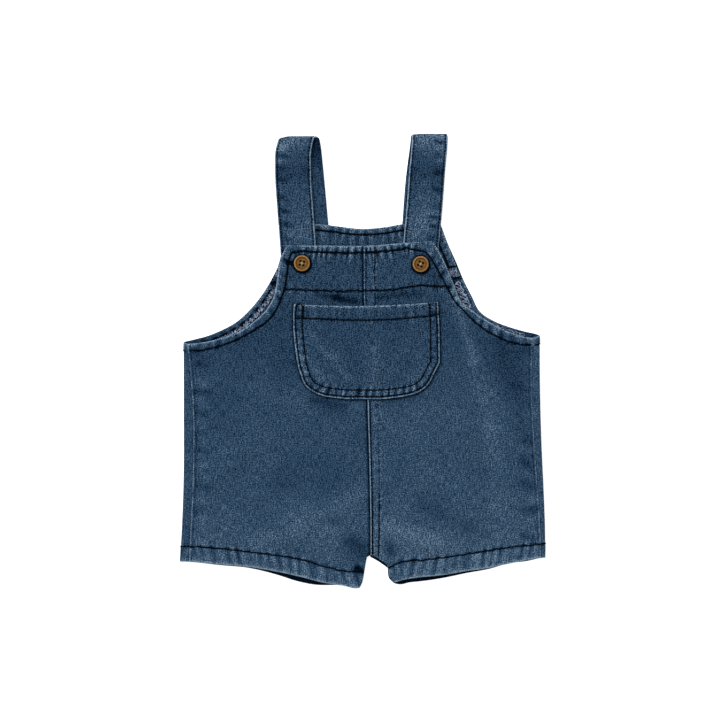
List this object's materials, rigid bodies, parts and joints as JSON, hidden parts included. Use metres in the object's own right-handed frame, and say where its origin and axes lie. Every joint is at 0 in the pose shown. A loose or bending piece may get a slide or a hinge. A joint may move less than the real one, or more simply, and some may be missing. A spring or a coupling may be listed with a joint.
{
  "type": "denim short overalls",
  "caption": "Short overalls for a baby in washed blue denim, laid flat with the front up: bib, patch pocket, and shoulder straps buttoned behind the bib.",
  "frame": {"origin": "the middle of the garment's outline, on the surface that its back lies on", "axes": "+X to the right across the garment as seen from above, +Y up from the legs to the straps, +Z up off the surface"},
  "size_m": [0.3184, 0.3957, 0.0094],
  "materials": {
    "denim": "washed mid-blue cotton twill, matt, with light worn edges and near-black topstitching",
    "denim_inside": "paler wrong side of the denim, with overlocked edges",
    "button": "tan, satin, turned with a paler raised rim",
    "thread": "dark navy sewing thread"
  },
  "bodies": {
    "root": {"front_left": "denim", "front_right": "denim", "back_left": "denim", "back_right": "denim", "back_facing": "denim_inside", "armhole_band_left": "denim_inside", "armhole_band_right": "denim_inside", "strap_left": "denim", "strap_right": "denim", "pocket": "denim", "button_left": "button", "button_right": "button", "button_thread_left": "thread", "button_thread_right": "thread"}
  },
  "joints": []
}
